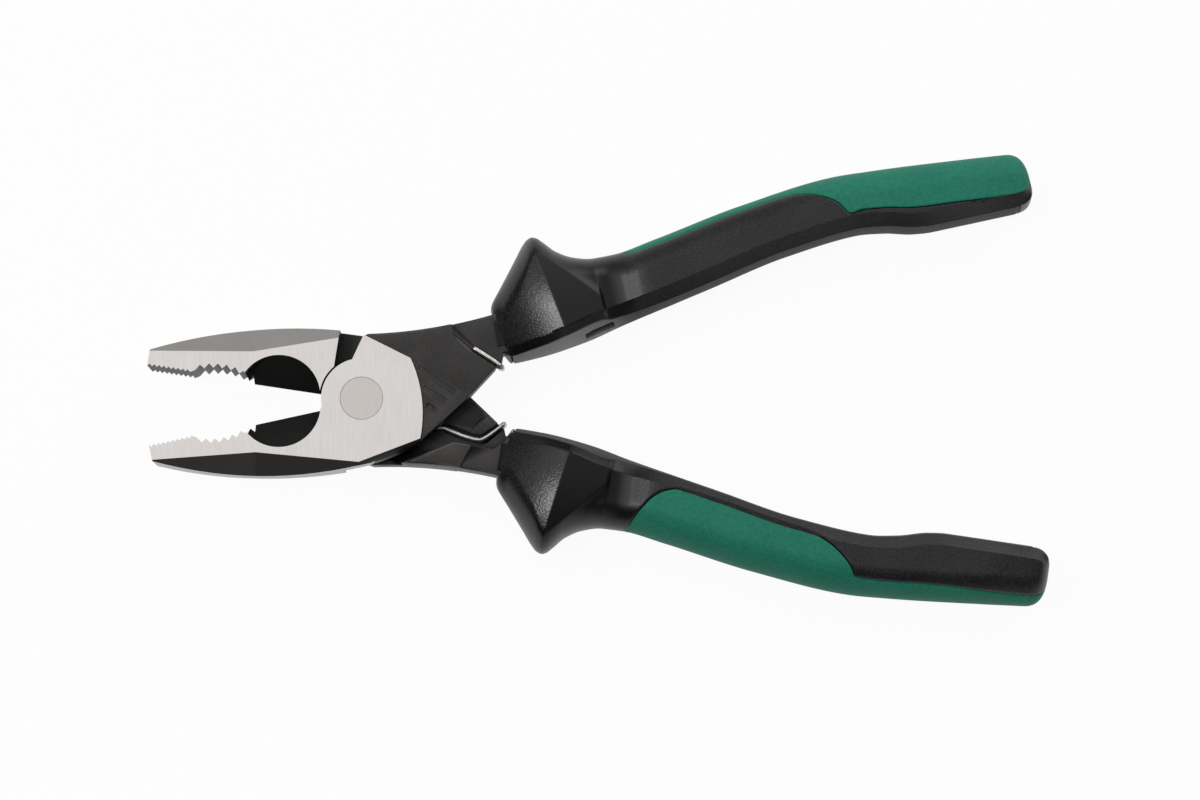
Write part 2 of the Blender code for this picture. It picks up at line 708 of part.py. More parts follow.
def grip_meshes():
    """The core, the black sleeve and the green inlay of one grip."""
    neck_room = plate("neck_room", [neck_outline(FIT_GAP)], -NECK_Z - FIT_GAP, NECK_Z + FIT_GAP)
    tang_z = TANG_THICKNESS / 2 + FIT_GAP
    tang_room = plate("tang_room", [tang_outline(FIT_GAP)], -tang_z, tang_z)
    slot_x, slot_length, slot_height = STRIP_SLOT
    ends = [slot_x - slot_length / 2, slot_x + slot_length / 2]
    floor = [(x, inner_edge(x) + STRIP_SLOT_DEPTH) for x in ends]
    slot = plate("slot", [[(ends[0], -FAR), *floor, (ends[1], -FAR)]], -slot_height / 2, slot_height / 2)
    core = loft("core", stations(CORE_START_X, CORE_END_X), core_section)
    for cut in (neck_room, tang_room, slot):
        combine(core, cut, "DIFFERENCE")
    room_places = stations(CORE_START_X - FIT_GAP, CORE_END_X + FIT_GAP)
    core_room = loft("core_room", room_places, core_room_section)
    shells = []
    for name, operation, gap in (("sleeve", "DIFFERENCE", FIT_GAP), ("inlay", "INTERSECT", 0.0)):
        shell = loft(name, stations(GRIP_START_X, GRIP_END_X), grip_section)
        combine(shell, core_room, "DIFFERENCE")
        combine(shell, neck_room, "DIFFERENCE")
        combine(shell, inlay_cutter(name + "_seam", gap), operation)
        shells.append(shell)
    return [evaluated_mesh(core)] + [evaluated_mesh(shell) for shell in shells]


# Spring
def bent(points, steps=3):
    """A smooth line through points (centripetal Catmull-Rom)."""
    spread = [points[0] * 2 - points[1]] + points + [points[-1] * 2 - points[-2]]
    line = []
    for a, b, c, d in zip(spread, spread[1:], spread[2:], spread[3:]):
        t1 = (b - a).length ** 0.5
        t2 = t1 + (c - b).length ** 0.5
        t3 = t2 + (d - c).length ** 0.5
        for i in range(steps):
            t = t1 + (t2 - t1) * i / steps
            ab = a * ((t1 - t) / t1) + b * (t / t1)
            bc = b * ((t2 - t) / (t2 - t1)) + c * ((t - t1) / (t2 - t1))
            cd = c * ((t3 - t) / (t3 - t2)) + d * ((t - t2) / (t3 - t2))
            abc = ab * ((t2 - t) / t2) + bc * (t / t2)
            bcd = bc * ((t3 - t) / (t3 - t1)) + cd * ((t - t1) / (t3 - t1))
            line.append(abc * ((t2 - t) / (t2 - t1)) + bcd * ((t - t1) / (t2 - t1)))
    return line + [points[-1]]


def spring_route():
    """The wire from the upper lever's hook, round the back of the rivet, to the lower lever's hook."""
    start, leg = leg_route()
    turn = Matrix.Rotation(REST_OPENING / 2, 4, "Z")
    upper = bent([turn @ p for p in leg[1:]][::-1])
    lower = [Vector((p.x, -p.y, -p.z)) for p in reversed(upper)]
    first = start + REST_OPENING / 2
    count = round(LOOP_POINTS * (2 * pi - 2 * first) / (2 * pi))
    loop = []
    for i in range(count + 1):
        share = i / count
        angle = first + (2 * pi - 2 * first) * share
        height = LEG_Z * cos(pi * share)
        loop.append(Vector((LOOP_RADIUS * cos(angle), LOOP_RADIUS * sin(angle), height)))
    return upper + loop + lower


def least_gap(points, diameter):
    """The smallest clear distance between stretches of the wire that aren't next to each other."""
    along = [0.0]
    for a, b in zip(points, points[1:]):
        along.append(along[-1] + (b - a).length)
    apart = [
        (points[i] - points[j]).length - diameter
        for i in range(len(points))
        for j in range(i)
        if along[i] - along[j] > 4 * diameter
    ]
    return min(apart)


def spring_curve():
    route = spring_route()
    print(f"return spring: least gap to itself {least_gap(route, WIRE_DIAMETER) * 1000:.2f} mm")
    curve = bpy.data.curves.new("return_spring", "CURVE")
    curve.dimensions = "3D"
    curve.bevel_depth = WIRE_RADIUS
    curve.bevel_resolution = 1
    curve.use_fill_caps = True
    spline = curve.splines.new("POLY")
    spline.points.add(len(route) - 1)
    for point, place in zip(spline.points, route):
        point.co = (place.x, place.y, place.z, 1.0)
    return curve


def finish(obj, material):
    if obj.type == "MESH" and not obj.data.materials:
        obj.data.shade_smooth()
        obj.data.set_sharp_from_angle(angle=radians(30.0))
    if not obj.data.materials:
        obj.data.materials.append(material)


clear_scene()
parts = new_collection("combination_pliers", True)
cutters = new_collection("cutters", False)
steel = new_material(*STEEL)
bright = new_material(*BRIGHT)
hard = new_material(*HARD)
black = new_material(*BLACK)
green = new_material(*GREEN)

tool = bpy.data.objects.new("pliers", None)
parts.objects.link(tool)
sides = {}
for side, turn in (
    ("upper", Matrix.Rotation(REST_OPENING / 2, 4, "Z")),
    ("lower", Matrix.Rotation(-REST_OPENING / 2, 4, "Z") @ Matrix.Rotation(pi, 4, "X")),
):
    pivot = bpy.data.objects.new(f"{side}_handle_pivot", None)
    parts.objects.link(pivot)
    pivot.parent = tool
    pivot.matrix_local = turn
    sides[side] = pivot

lever = lever_mesh()
core, sleeve, inlay = grip_meshes()
for side, lever_name in (("upper", "front_lever"), ("lower", "rear_lever")):
    finish(add_object(lever_name, lever, parts, sides[side]), steel)
    finish(add_object(f"{side}_grip_core", core, parts, sides[side]), hard)
    finish(add_object(f"{side}_grip_sleeve", sleeve, parts, sides[side]), black)
    finish(add_object(f"{side}_grip_inlay", inlay, parts, sides[side]), green)

rivet_mesh = drum_mesh("pivot_rivet", RIVET_DIAMETER / 2, -HALF_JOINT, HALF_JOINT)
rivet = add_object("pivot_rivet", rivet_mesh, parts, tool)
edge = rivet.modifiers.new("chamfer", "BEVEL")
edge.width = RIVET_CHAMFER
edge.segments = 1
edge.limit_method = "ANGLE"
finish(rivet, bright)

spring = add_object("return_spring", spring_curve(), parts, tool)
finish(spring, bright)

# The tool lies with its box's bottom centre at the origin
bpy.context.view_layer.update()
solids = [obj for obj in parts.objects if obj.type == "MESH"]
corners = [obj.matrix_world @ Vector(corner) for obj in solids for corner in obj.bound_box]
low_x = min(c.x for c in corners)
high_x = max(c.x for c in corners)
tool.location = (-(low_x + high_x) / 2, 0.0, -min(c.z for c in corners))
bpy.context.view_layer.update()
print("rivet axis at x = {:.6f}, mid-plane at z = {:.6f}".format(tool.location.x, tool.location.z))
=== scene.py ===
"""Looks of a pair of sprung combination pliers with a lap joint and two-colour moulded grips.

A half of the tool is drawn shut, with the rivet at the origin, the jaw along -X and the handle along +X.
It is then turned to its place on the open tool, and for the lower half turned over first.  Metres, +Z up.
"""

import json
from math import cos, pi, radians, sin

import bmesh
import bpy
import numpy as np
from mathutils import Matrix, Vector


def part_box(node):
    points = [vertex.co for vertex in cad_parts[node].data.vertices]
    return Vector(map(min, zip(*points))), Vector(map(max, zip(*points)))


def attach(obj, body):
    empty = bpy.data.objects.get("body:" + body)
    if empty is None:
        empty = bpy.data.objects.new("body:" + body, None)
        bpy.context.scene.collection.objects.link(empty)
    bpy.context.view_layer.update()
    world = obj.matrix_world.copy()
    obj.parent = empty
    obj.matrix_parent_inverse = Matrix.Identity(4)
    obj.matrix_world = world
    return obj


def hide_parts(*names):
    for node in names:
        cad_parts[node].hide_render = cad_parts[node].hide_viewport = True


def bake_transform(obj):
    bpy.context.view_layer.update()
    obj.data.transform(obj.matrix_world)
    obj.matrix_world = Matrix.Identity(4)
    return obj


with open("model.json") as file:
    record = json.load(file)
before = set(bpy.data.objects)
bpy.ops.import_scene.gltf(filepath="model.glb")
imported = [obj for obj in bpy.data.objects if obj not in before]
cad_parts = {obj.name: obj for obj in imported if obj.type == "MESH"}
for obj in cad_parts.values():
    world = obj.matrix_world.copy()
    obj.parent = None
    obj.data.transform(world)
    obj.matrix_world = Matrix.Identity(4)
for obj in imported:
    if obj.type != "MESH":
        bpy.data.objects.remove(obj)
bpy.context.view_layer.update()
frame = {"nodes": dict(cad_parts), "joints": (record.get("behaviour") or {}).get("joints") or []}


# Levers: two drop forgings of one shape, lapped at the rivet, the rear one turned over.
# The steel is blacked all over, darkest in the jaws' hollows; then the faces and backs are ground bright.
# Each is a merged copy of its solid whose edges are broken where it is forged and crisp where it is ground.
MM = 0.001
OPENING = radians(frame["joints"][0]["range_deg"][1])
rivet_low, rivet_high = (np.array(corner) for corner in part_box("pivot_rivet"))
RIVET = (rivet_low + rivet_high) / 2
HALF_JOINT = (rivet_high[2] - rivet_low[2]) / 2
TURN = {
    "upper": np.array(Matrix.Rotation(OPENING / 2, 3, "Z")),
    "lower": np.array(Matrix.Rotation(-OPENING / 2, 3, "Z") @ Matrix.Rotation(pi, 3, "X")),
}
BODY = {"upper": "front_half", "lower": "rear_half"}
EDGE_BREAK = 0.45 * MM
BROAD_FACE = 4.0 * MM
MERGED = 0.002 * MM
LEVEL_ANGLE = radians(0.1)
TURNED_A_LITTLE = radians(1.0)
SHARE_OF_WALL = 0.30
SHARP_ANGLE = radians(20.0)
JAW_BACK_END_X = 0.0
TEETH_END_X = -24.2 * MM
TEETH_LOW_Y = -4.2 * MM
BACK_HIGH_Y = -2.8 * MM
FACE_MARGIN = 0.02 * MM
LEVEL = 0.99
TILTED = 0.97
UPRIGHT = 0.1
OUTWARD = -0.3
AHEAD = -0.9
RUBBED_SIDE = -0.2
RUBBED_TOOTH = 0.7
GROUND_BACK = 0.5
GROUND_TONES = ((0.535, 0.510, 0.495, 1.0), (0.590, 0.565, 0.550, 1.0))
BLACKED_TONES = ((0.025, 0.0235, 0.0225, 1.0), (0.044, 0.0415, 0.040, 1.0))
WORN_TONE = (0.16, 0.15, 0.145, 1.0)
SCALE_TONE = (0.009, 0.0085, 0.008, 1.0)
SCALE_END_X = 8.0 * MM
SCALE_SHARE = 0.85
WORN_SHARE = 0.5
GRIND_LINES = (5200.0, 160.0, 5200.0)
BLACK_SPECKS = 2600.0
STEEL_CLOUDS = 140.0
GROUND_ROUGHNESS = (0.14, 0.08)
BLACKED_ROUGHNESS = (0.40, 0.18)
STEEL_METALLIC = (0.55, 0.45)
LINE_HEIGHT = 0.008
SPECK_HEIGHT = 0.045 * MM


def placed(points, half):
    """Points of a shut half moved to the open tool: turned by the half's rotation and set on the rivet."""
    return points @ TURN[half].T + RIVET


def shut(points, half):
    """The reverse of placed: points of the open tool, moved back to the shut half."""
    return (points - RIVET) @ TURN[half]


def read(sequence, name, width):
    """One property of all items of a mesh sequence: an array with a row for each and width columns."""
    values = np.empty(len(sequence) * width, np.float32)
    sequence.foreach_get(name, values)
    return values.reshape(-1, width).astype(float)


def write(mesh, name, domain, values):
    """Store a number for each point, edge or face of a mesh under a name that its material reads."""
    layer = mesh.attributes.new(name, "FLOAT", domain)
    layer.data.foreach_set("value", np.ascontiguousarray(values, np.float32).ravel())


def ground_share(centres, normals):
    """How bright grinding leaves each face of a shut lever: by its place and the way that it looks."""
    lean = np.abs(normals[:, 2])
    on_teeth = centres[:, 0] < TEETH_END_X
    face = (lean > LEVEL) & (np.abs(centres[:, 2]) > HALF_JOINT - FACE_MARGIN)
    outward = (normals[:, 1] < OUTWARD) & (centres[:, 1] < BACK_HIGH_Y) & (centres[:, 0] < JAW_BACK_END_X)
    tip = (normals[:, 0] < AHEAD) & on_teeth
    bright = face | (outward & (lean < TILTED)) | tip
    toothed = (lean < UPRIGHT) & on_teeth & (centres[:, 1] > TEETH_LOW_Y)
    rubbed = toothed & (normals[:, 0] < RUBBED_SIDE)
    back = outward & (lean < UPRIGHT)
    return np.where(back, GROUND_BACK, np.where(bright, 1.0, RUBBED_TOOTH * rubbed))


def edge_breaks(mesh, normals, ground):
    """How far each edge is broken, as a share of EDGE_BREAK, and which edges are sharp.

    Only forged edges that stand out are broken, as far as the narrower face beside them and the shortest
    edge at their ends leave room for; ground edges stay crisp.
    """
    sizes = read(mesh.polygons, "loop_total", 1).astype(int).ravel()
    by_edge = np.argsort(read(mesh.loops, "edge_index", 1).ravel(), kind="stable").reshape(-1, 2)
    pairs = np.repeat(np.arange(len(sizes)), sizes)[by_edge]
    joined = read(mesh.edges, "vertices", 2).astype(int)
    points = read(mesh.vertices, "co", 3)
    run = points[joined[:, 1]] - points[joined[:, 0]]
    first = read(mesh.loops, "vertex_index", 1).astype(int).ravel()[by_edge[:, 0]]
    run = np.where((first == joined[:, 0])[:, None], run, -run)
    length = np.linalg.norm(run, axis=1)
    one, other = normals[pairs[:, 0]], normals[pairs[:, 1]]
    turn = np.einsum("ij,ij->i", one, other)
    stands_out = np.einsum("ij,ij->i", np.cross(one, other), run) > 0
    shortest = np.full(len(points), np.inf)
    np.minimum.at(shortest, joined.ravel(), np.repeat(length, 2))
    area = read(mesh.polygons, "area", 1).ravel()
    width = area[pairs].min(axis=1) / length
    sharp = (turn < cos(SHARP_ANGLE)) | ((turn < cos(TURNED_A_LITTLE)) & (width > BROAD_FACE))
    broken = np.minimum(1.0, SHARE_OF_WALL * np.minimum(width, shortest[joined].min(axis=1)) / EDGE_BREAK)
    forged_edge = (turn < cos(SHARP_ANGLE)) & stands_out & (ground[pairs].max(axis=1) == 0.0)
    return np.where(forged_edge, broken, 0.0), sharp


def forged(node, half):
    """A merged copy of a lever with its standing edges broken; it marks what is ground and what is edge."""
    mesh = frame["nodes"][node].data.copy()
    shape = bmesh.new()
    shape.from_mesh(mesh)
    bmesh.ops.remove_doubles(shape, verts=shape.verts, dist=MERGED)
    bmesh.ops.dissolve_limit(shape, angle_limit=LEVEL_ANGLE, verts=shape.verts, edges=shape.edges)
    shape.to_mesh(mesh)
    shape.free()
    normals = read(mesh.polygons, "normal", 3) @ TURN[half]
    centres = shut(read(mesh.polygons, "center", 3), half)
    ground = ground_share(centres, normals)
    write(mesh, "ground", "FACE", ground)
    hollow = (centres[:, 0] < SCALE_END_X) & (np.abs(normals[:, 2]) > UPRIGHT)
    write(mesh, "scale", "FACE", (ground == 0.0) & hollow)
    breaks, sharp = edge_breaks(mesh, normals @ TURN[half].T, ground)
    write(mesh, "bevel_weight_edge", "EDGE", breaks)
    mesh.shade_smooth()
    mesh.edges.foreach_set("use_edge_sharp", sharp & (breaks == 0.0))
    mesh.materials.clear()
    mesh.materials.append(blacked_steel)
    mesh.materials.append(blacked_steel)
    piece = bpy.data.objects.new(node + "_forging", mesh)
    bpy.context.scene.collection.objects.link(piece)
    edge = piece.modifiers.new("broken_edges", "BEVEL")
    edge.limit_method = "WEIGHT"
    edge.width = EDGE_BREAK
    edge.segments = 3
    edge.use_clamp_overlap = False
    edge.harden_normals = True
    edge.material = 1
    finished = bpy.data.meshes.new_from_object(piece.evaluated_get(bpy.context.evaluated_depsgraph_get()))
    piece.modifiers.remove(edge)
    piece.data = finished
    write(finished, "edge", "FACE", read(finished.polygons, "material_index", 1))
    finished.polygons.foreach_set("material_index", np.zeros(len(finished.polygons), np.int32))
    finished.materials.pop(index=1)
    return piece


class Socket:
    """A shader value: arithmetic on it adds Math nodes, and node() adds a node of any other kind."""

    def __init__(self, tree, output=None):
        self.tree = tree
        self.output = output

    def node(self, kind, settings=None, inputs=None, output=0):
        """A new node with its settings, and its inputs set to values or linked to sockets."""
        made = self.tree.nodes.new("ShaderNode" + kind)
        for name, value in (settings or {}).items():
            setattr(made, name, value)
        for name, value in (inputs or {}).items():
            if isinstance(value, Socket):
                self.tree.links.new(value.output, made.inputs[name])
            else:
                made.inputs[name].default_value = value
        return Socket(self.tree, made.outputs[output])

    def math(self, operation, *values):
        """What a Math node makes of numbers and sockets."""
        return self.node("Math", {"operation": operation}, dict(enumerate(values)))

    def __add__(self, other):
        return self.math("ADD", self, other)

    def __radd__(self, other):
        return self.math("ADD", other, self)

    def __sub__(self, other):
        return self.math("SUBTRACT", self, other)

    def __rsub__(self, other):
        return self.math("SUBTRACT", other, self)

    def __mul__(self, other):
        return self.math("MULTIPLY", self, other)

    def __rmul__(self, other):
        return self.math("MULTIPLY", other, self)

    def noise(self, scale, detail=3.0):
        """Cloudy noise from 0 to 1, of so many lumps to the metre: a number, or one for each axis."""
        place = self.node("TexCoord", output="Object")
        scale = scale if isinstance(scale, tuple) else (scale, scale, scale)
        spread = self.node("Mapping", inputs={"Vector": place, "Scale": scale})
        return self.node("TexNoise", inputs={"Vector": spread, "Scale": 1.0, "Detail": detail})

    def attribute(self, name):
        """The number that write() stored on the mesh."""
        return self.node("Attribute", {"attribute_name": name}, output="Fac")

    def rising(self, low, rise):
        """Low where this value is 0, and by the rise more where it is 1."""
        return low + self * rise

    def between(self, low, high):
        """0 below low, 1 above high and smooth between them."""
        ends = {"Value": self, "From Min": low, "From Max": high}
        return self.node("MapRange", {"interpolation_type": "SMOOTHSTEP"}, ends)

    def mix(self, first, second):
        """A colour that goes from first to second as this value goes from 0 to 1."""
        return self.node("Mix", {"data_type": "RGBA"}, {0: self, 6: first, 7: second}, output=2)

    def bump(self, height):
        """A normal that stands up where this value is high, by a height in metres."""
        return self.node("Bump", inputs={"Height": self, "Distance": height})


def finish(name, **fixed):
    """A new material, its shader with the values that are the same all over, and a socket to start from."""
    material = bpy.data.materials.new(name)
    material.use_nodes = True
    shader = material.node_tree.nodes["Principled BSDF"]
    for socket, value in fixed.items():
        shader.inputs[socket.replace("_", " ")].default_value = value
    return material, shader, Socket(material.node_tree)


def feed(shader, name, value):
    """Link a value to an input of a shader."""
    value.tree.links.new(value.output, shader.inputs[name])


blacked_steel, shader, start = finish("blacked_and_ground_steel")
ground = start.attribute("ground")
forged_skin = 1.0 - ground
lines = start.noise(GRIND_LINES)
clouds = start.noise(STEEL_CLOUDS)
specks = start.noise(BLACK_SPECKS)
bright = (lines * 0.65 + clouds * 0.35).between(0.3, 0.7).mix(*GROUND_TONES)
black = (specks * 0.6 + clouds * 0.4).between(0.3, 0.7).mix(*BLACKED_TONES)
wear = start.attribute("edge") * clouds.between(0.42, 0.68) * WORN_SHARE
hollow = (start.attribute("scale") * SCALE_SHARE).mix(wear.mix(black, WORN_TONE), SCALE_TONE)
roughness = ground * lines.rising(*GROUND_ROUGHNESS) + forged_skin * specks.rising(*BLACKED_ROUGHNESS)
feed(shader, "Base Color", ground.mix(hollow, bright))
feed(shader, "Roughness", roughness)
feed(shader, "Metallic", ground.rising(*STEEL_METALLIC))
feed(shader, "Normal", (specks * forged_skin + lines * ground * LINE_HEIGHT).bump(SPECK_HEIGHT))

for node, half in (("front_lever", "upper"), ("rear_lever", "lower")):
    lever = forged(node, half)
    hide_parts(node)
    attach(lever, BODY[half])


# Pivot rivet: a plain steel pin, headed into both cheeks and ground flush with them.
# It fills its hole, so that only a hair line shows round it; its face keeps faint turning rings.
RIVET_FILL = 0.07 * MM
RIVET_RADIUS = (rivet_high[0] - rivet_low[0]) / 2 + RIVET_FILL
RIVET_RISE = 0.015 * MM
RIVET_RIM = 0.06 * MM
RIVET_SIDES = 192
RIVET_TONES = ((0.455, 0.425, 0.410, 1.0), (0.500, 0.470, 0.455, 1.0))
RIVET_RINGS = 14000.0
RIVET_ROUGHNESS = (0.15, 0.08)
RIVET_BUMP = 0.002 * MM
SAME_POINT = 0.0005 * MM
SMOOTH_ANGLE = radians(32.0)


def skin(name, points, material, **shares):
    """A closed mesh over rows of points whose columns run round: quads between rows, a cap on each end row.

    Points is rows x columns x 3, and so is each share, without the 3: a value at every point.  Points that
    fall together, as at a pole or a closed seam, are merged.
    """
    rows, columns = points.shape[:2]
    here = np.arange(rows * columns).reshape(rows, columns)
    beside = np.roll(here, -1, axis=1)
    quads = np.stack((here[:-1], beside[:-1], beside[1:], here[1:]), axis=-1).reshape(-1, 4)[:, ::-1]
    mesh = bpy.data.meshes.new(name)
    caps = [here[0].tolist(), here[-1, ::-1].tolist()]
    mesh.from_pydata(points.reshape(-1, 3).tolist(), [], quads.tolist() + caps)
    for share, values in shares.items():
        write(mesh, share, "POINT", np.broadcast_to(values, (rows, columns)))
    shape = bmesh.new()
    shape.from_mesh(mesh)
    bmesh.ops.remove_doubles(shape, verts=shape.verts, dist=SAME_POINT)
    bmesh.ops.dissolve_degenerate(shape, edges=shape.edges, dist=SAME_POINT)
    shape.to_mesh(mesh)
    shape.free()
    mesh.shade_smooth()
    mesh.set_sharp_from_angle(angle=SMOOTH_ANGLE)
    mesh.materials.append(material)
    piece = bpy.data.objects.new(name, mesh)
    bpy.context.scene.collection.objects.link(piece)
    return piece


def turned(profile, sides):
    """A profile of (radius, height) carried round Z: a row for each point, a column for each angle."""
    radius, height = np.array(profile).T[:, :, None]
    angle = np.linspace(0.0, 2 * pi, sides, endpoint=False)
    return np.stack((radius * np.cos(angle), radius * np.sin(angle), height + 0.0 * angle), axis=-1)


rivet_steel, shader, start = finish("ground_rivet_steel", Metallic=1.0)
place = start.node("TexCoord", output="Object")
centred = start.node("VectorMath", {"operation": "SUBTRACT"}, {0: place, 1: tuple(RIVET)})
flat = start.node("VectorMath", {"operation": "MULTIPLY"}, {0: centred, 1: (1.0, 1.0, 0.0)})
radius = start.node("VectorMath", {"operation": "LENGTH"}, {0: flat}, output="Value")
rings = start.math("SINE", radius * RIVET_RINGS) * 0.5 + 0.5
lines = start.noise(GRIND_LINES)
feed(shader, "Base Color", (lines * 0.7 + rings * 0.3).between(0.25, 0.75).mix(*RIVET_TONES))
feed(shader, "Roughness", lines.rising(*RIVET_ROUGHNESS))
feed(shader, "Normal", (rings * 0.2 + lines * 0.3).bump(RIVET_BUMP))

top = HALF_JOINT + RIVET_RISE
rim = RIVET_RADIUS - RIVET_RIM
upper = [(0.0, top), (0.55 * RIVET_RADIUS, top), (rim, top), (RIVET_RADIUS, top - RIVET_RIM)]
profile = [(r, -z) for r, z in upper] + upper[::-1]
rivet = skin("pivot_rivet_ground", turned(profile, RIVET_SIDES)[::-1] + RIVET, rivet_steel)
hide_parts("pivot_rivet")
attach(rivet, "front_half")


# Return spring: one length of drawn steel wire, looped round the rivet between the cheeks.
# Each leg runs out in its channel, hooks over the waist of a shank and ends on the shank's open face.
WIRE_RADIUS = 0.54 * MM
WIRE_SIDES = 20
WIRE_END_SIZE = (0.0, 0.6, 0.9)
WIRE_END_REACH = (0.35, 0.3, 0.16)
SIDEWAYS_OF = (0.30, 0.20, 0.93)
LOOP_RADIUS = 6.3 * MM
LOOP_STEPS = 90
LEG_STEPS = 10
LEG_Z = 0.8 * MM
LEG = (
    (18.3, 3.1, 0.8),
    (23.8, 4.4, 0.8),
    (26.6, 4.5, 0.8),
    (27.8, 3.8, 0.8),
    (30.0, 1.7, 0.8),
    (31.2, 0.33, 1.1),
    (31.35, 0.18, 2.9),
    (31.2, 0.33, 4.7),
    (30.0, 1.8, 5.0),
    (26.3, 5.5, 5.0),
)
LOOP_ANGLE = radians(80.3)
SPRING_TONES = ((0.42, 0.41, 0.40, 1.0), (0.60, 0.59, 0.58, 1.0))
SPRING_CLOUDS = 900.0
SPRING_ROUGHNESS = (0.26, 0.14)
SPRING_GRAIN = 6000.0
SPRING_BUMP = 0.008 * MM


def bent(points, steps):
    """A smooth line through points: centripetal Catmull-Rom, worked out for every stretch at once."""
    spread = np.concatenate((2 * points[:1] - points[1:2], points, 2 * points[-1:] - points[-2:-1]))
    gaps = np.sqrt(np.linalg.norm(np.diff(spread, axis=0), axis=1))
    a, b, c, d = (spread[i : len(spread) - 3 + i, None] for i in range(4))
    t1 = gaps[:-2, None, None]
    t2 = t1 + gaps[1:-1, None, None]
    t3 = t2 + gaps[2:, None, None]
    t = t1 + (t2 - t1) * np.arange(steps)[None, :, None] / steps
    ab = a + (b - a) * t / t1
    bc = b + (c - b) * (t - t1) / (t2 - t1)
    cd = c + (d - c) * (t - t2) / (t3 - t2)
    abc = ab + (bc - ab) * t / t2
    bcd = bc + (cd - bc) * (t - t1) / (t3 - t1)
    line = abc + (bcd - abc) * (t - t1) / (t2 - t1)
    return np.concatenate((line.reshape(-1, 3), points[-1:]))


def wire(path, radius, sides):
    """A round profile carried along a path, with its ends rounded off by three smaller rows."""
    along = np.gradient(path, axis=0)
    along /= np.linalg.norm(along, axis=1, keepdims=True)
    across = np.cross(along, SIDEWAYS_OF)
    across /= np.linalg.norm(across, axis=1, keepdims=True)
    up = np.cross(along, across)
    angle = np.linspace(0.0, 2 * pi, sides, endpoint=False)[None, :, None]
    ring = radius * (np.cos(angle) * across[:, None] + np.sin(angle) * up[:, None])
    shrink = np.array(WIRE_END_SIZE)[:, None, None]
    reach = radius * np.array(WIRE_END_REACH)[:, None, None]
    first = path[0] + shrink * ring[0] - reach * along[0]
    last = path[-1] + shrink[::-1] * ring[-1] + reach[::-1] * along[-1]
    return np.concatenate((first, path[:, None] + ring, last))


leg = placed(bent(np.array(LEG) * MM, LEG_STEPS)[::-1], "upper")
sweep = np.linspace(0.0, 1.0, LOOP_STEPS)[:, None]
angle = LOOP_ANGLE + OPENING / 2 + (2 * pi - 2 * LOOP_ANGLE - OPENING) * sweep
circle = np.hstack((LOOP_RADIUS * np.cos(angle), LOOP_RADIUS * np.sin(angle)))
loop = np.hstack((circle, LEG_Z * np.cos(pi * sweep))) + RIVET
other_leg = ((leg - RIVET) * (1.0, -1.0, -1.0) + RIVET)[::-1]
route = np.concatenate((leg, loop, other_leg))

spring_steel, shader, start = finish("drawn_spring_wire", Metallic=1.0)
drawn = start.noise(SPRING_CLOUDS)
feed(shader, "Base Color", drawn.between(0.3, 0.7).mix(*SPRING_TONES))
feed(shader, "Roughness", drawn.rising(*SPRING_ROUGHNESS))
feed(shader, "Normal", start.noise(SPRING_GRAIN, 2.0).bump(SPRING_BUMP))
spring = skin("return_spring_wire", wire(route, WIRE_RADIUS, WIRE_SIDES), spring_steel)
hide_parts("return_spring")
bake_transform(spring)


# Grip cores: hard plastic mouldings, pressed on the tangs before the soft grips go over them.
# Only the smooth strip along the inner side shows, a little proud, with a short slot behind the guard.
# The plastic is black; on the upper guard its strip carries grey painted light, fading out along the neck.
START_X = 31.6
END_X = 153.6
DOME = 4.6
DOME_POWER = 2.8
LIP = 0.7
RIDGE = (44.2, 21.2)
RIDGE_LEAN = 0.153
RIDGE_SPAN = 11.0
LEAN_ROUNDS = 5
GUARD_HALF = 10.4
JAW_SIDE_FALL = 0.28
JAW_SIDE_CURVE = 0.012
HAND_SIDE_FALL = 0.16
CROWN_Y = 9.0
CROWN = 0.010
FLANK = (45.0, 22.8)
FLANK_AWAY = (0.75, 0.66)
FLANK_SPAN = 1.8
STEP_X = 55.5
STEP_RUN = 1.0
NECK_HALF = 7.75
OUTER_EDGE = (
    (31.6, 14.0),
    (32.2, 14.9),
    (34.5, 17.65),
    (36.8, 20.4),
    (39.2, 23.3),
    (41.4, 25.95),
    (42.6, 27.0),
    (43.7, 27.35),
    (44.7, 27.0),
    (45.9, 25.8),
    (48.2, 23.2),
    (51.8, 21.0),
    (56.0, 19.9),
    (60.6, 19.8),
    (70.1, 21.1),
    (89.9, 24.3),
    (111.0, 26.2),
    (120.0, 25.7),
    (140.0, 23.9),
    (153.6, 22.5),
)
INNER_EDGE = (
    (31.6, 4.80),
    (32.4, 3.00),
    (33.6, 1.10),
    (35.2, 0.95),
    (40.0, 1.05),
    (50.0, 2.10),
    (60.0, 4.20),
    (80.0, 8.00),
    (97.8, 11.3),
    (113.6, 12.6),
    (120.0, 11.8),
    (126.5, 10.2),
    (130.6, 9.8),
    (153.6, 9.75),
)
HANDLE_HALF = (
    (55.5, NECK_HALF),
    (58.9, 7.1),
    (60.8, 7.3),
    (62.9, 7.9),
    (65.0, 8.5),
    (67.0, 8.7),
    (138.6, 8.7),
    (149.6, 7.9),
    (153.6, 7.4),
)
SIDE_HALF = ((32.0, 5.0), (37.0, 7.0), (42.0, 9.0), (47.0, 10.4), (55.0, 9.4), (58.0, 8.7), (64.0, 8.7))
SIDE_ROUND = ((34.0, 2.0), (47.0, 2.5), (54.0, 3.4), (60.0, 2.6), (70.0, 1.7))
SIDE_POWER = ((52.0, 1.15), (66.0, 1.4))
CHAMFER_REACH = ((34.0, 3.1), (47.0, 3.6), (54.0, 4.2), (60.0, 3.8), (70.0, 3.3))
OUTER_ROUND = ((34.0, 8.0), (40.0, 7.5), (44.0, 5.0), (48.0, 4.5), (64.0, 6.4))
